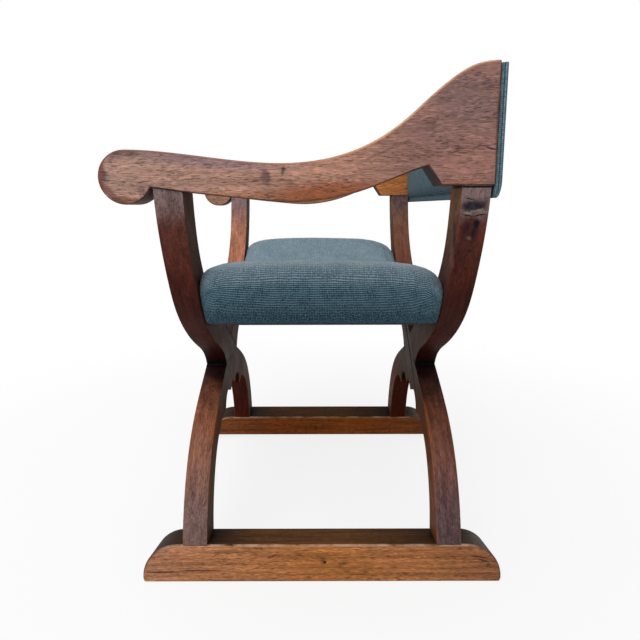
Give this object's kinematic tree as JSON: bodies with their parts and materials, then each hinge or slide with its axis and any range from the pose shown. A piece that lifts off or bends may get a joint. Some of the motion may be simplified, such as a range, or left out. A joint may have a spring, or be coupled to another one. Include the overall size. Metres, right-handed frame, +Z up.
{
  "type": "hip-joint armchair",
  "caption": "Armchair on crossed S-curved leg frames joined to side runners, with scrolled arms, a dished upholstered seat and an upholstered back panel.",
  "frame": {"origin": "on the floor under the centre of the whole chair's box", "axes": "+X to the right as seen from in front, front at -Y, +Z up"},
  "size_m": [0.696, 0.6012, 0.807],
  "materials": {
    "leg_wood": "waxed dark reddish brown walnut, worn",
    "peg_wood": "oak, dry",
    "runner_wood": "waxed orange brown walnut, rubbed",
    "arm_wood": "waxed pale reddish brown walnut, worn and greyed",
    "frame_wood": "unfinished softwood",
    "stuffing": "horsehair and wadding",
    "seat_cloth": "ribbed matt grey-blue weave",
    "back_cloth": "ribbed matt teal weave",
    "bottom_cloth": "thin black cambric",
    "steel": "dull, lightly oxidised"
  },
  "bodies": {
    "root": {"front_leg_left_foot": "leg_wood", "front_leg_right_foot": "leg_wood", "back_leg_left_foot": "leg_wood", "back_leg_right_foot": "leg_wood", "front_hip_peg": "peg_wood", "back_hip_peg": "peg_wood", "runner_left": "runner_wood", "runner_right": "runner_wood", "arm_left": "arm_wood", "arm_right": "arm_wood", "seat_side_rail_left": "frame_wood", "seat_side_rail_right": "frame_wood", "seat_slat_left_1": "frame_wood", "seat_slat_left_2": "frame_wood", "seat_slat_right_1": "frame_wood", "seat_slat_right_2": "frame_wood", "seat_deck": "frame_wood", "seat_padding": "stuffing", "seat_cover": "seat_cloth", "seat_bottom_cloth": "bottom_cloth", "seat_tacks": "steel", "back_board": "frame_wood", "back_padding": "stuffing", "back_front_cover": "back_cloth", "back_rear_cover": "back_cloth", "back_screws": "steel"}
  },
  "joints": []
}
